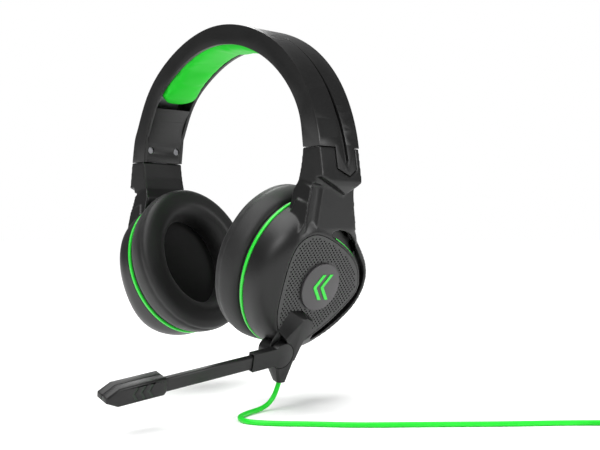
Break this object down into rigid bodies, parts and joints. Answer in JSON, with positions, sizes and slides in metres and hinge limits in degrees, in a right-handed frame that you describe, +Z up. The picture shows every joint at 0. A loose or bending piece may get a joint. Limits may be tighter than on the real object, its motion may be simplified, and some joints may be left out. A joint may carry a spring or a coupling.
{
  "type": "gaming headset",
  "caption": "Over-ear headset with a sliding headband, padded tilted cups with perforated outer plates, a swinging microphone boom and a coiled cord with a plug.",
  "frame": {"origin": "midway between the ears, at the height of the middle of the ear cups", "axes": "+Z up, the wearer faces -Y, +X is the wearer's left, where the microphone and the cord are"},
  "size_m": [0.3617, 0.2429, 0.2285],
  "materials": {
    "charcoal_plastic": "fine moulded texture",
    "black_plastic": "fine moulded texture",
    "grey_plastic": "satin",
    "grille_paint": "satin, perforated",
    "green_plastic": "smooth",
    "pad_leather": "soft synthetic leather",
    "cushion_fabric": "knitted mesh",
    "scrim_fabric": "thin woven cloth",
    "spring_steel": "rolled strip",
    "plated_steel": "zinc plated",
    "magnet_steel": "nickel plated",
    "film": "thin formed film",
    "green_rubber": "smooth, slightly glossy",
    "green_plug": "smooth",
    "jack_plating": "gold plated",
    "lead_jacket": "smooth",
    "electronic_parts": "moulded",
    "circuit_board": "solder mask"
  },
  "bodies": {
    "left_ear": {"ear_housing_left": "charcoal_plastic", "accent_ring_left": "green_plastic", "grille_left": "grille_paint", "badge_left": "grey_plastic", "badge_mark_left": "green_plastic", "rear_accent_left": "green_plastic", "baffle_left": "black_plastic", "baffle_screws_left": "plated_steel", "driver_basket_left": "plated_steel", "driver_magnet_left": "magnet_steel", "diaphragm_left": "film", "pad_clip_ring_left": "black_plastic", "scrim_left": "scrim_fabric", "ear_pad_left": "pad_leather", "slider_bar_left": "spring_steel", "boom_bracket": "charcoal_plastic", "boom_pin": "plated_steel", "volume_pot": "electronic_parts", "volume_board": "circuit_board", "cable": "green_rubber", "cable_coil": "green_rubber", "plug_body": "green_plug", "jack": "jack_plating"},
    "headband": {"headband_shell": "charcoal_plastic", "headband_spring": "spring_steel", "crossover_lead": "lead_jacket", "head_cushion": "cushion_fabric", "band_end_cover_left": "charcoal_plastic", "band_end_cover_right": "charcoal_plastic", "band_end_screws_left": "plated_steel", "band_end_screws_right": "plated_steel", "slider_guide_left": "black_plastic", "slider_guide_right": "black_plastic"},
    "right_ear": {"ear_housing_right": "charcoal_plastic", "accent_ring_right": "green_plastic", "grille_right": "grille_paint", "badge_right": "grey_plastic", "badge_mark_right": "green_plastic", "rear_accent_right": "green_plastic", "baffle_right": "black_plastic", "baffle_screws_right": "plated_steel", "driver_basket_right": "plated_steel", "driver_magnet_right": "magnet_steel", "diaphragm_right": "film", "pad_clip_ring_right": "black_plastic", "scrim_right": "scrim_fabric", "ear_pad_right": "pad_leather", "slider_bar_right": "spring_steel"},
    "boom": {"boom_sleeve": "charcoal_plastic", "boom_arm": "charcoal_plastic", "mic_shell_outer": "charcoal_plastic", "mic_shell_inner": "charcoal_plastic", "mic_port_inserts": "black_plastic", "mic_capsule": "electronic_parts"},
    "volume": {"volume_wheel": "black_plastic", "volume_shaft": "black_plastic"}
  },
  "joints": [
    {"name": "left_slider", "type": "slide", "parent": "left_ear", "child": "headband", "axis": [-0.1392, 0, 0.9903], "range_m": [0, 0.02]},
    {"name": "right_slider", "type": "slide", "parent": "headband", "child": "right_ear", "axis": [-0.1392, 0, -0.9903], "range_m": [0, 0.02]},
    {"name": "boom_swing", "type": "hinge", "parent": "left_ear", "child": "boom", "pos_m": [0.06623, -0.0227, -0.04628], "axis": [-0.9472, 0, 0.3206], "range_deg": [0, 60]},
    {"name": "volume_turn", "type": "hinge", "parent": "left_ear", "child": "volume", "pos_m": [0.06043, 0.03, -0.00167], "axis": [0.9472, 0, -0.3206], "range_deg": [0, 270]}
  ]
}
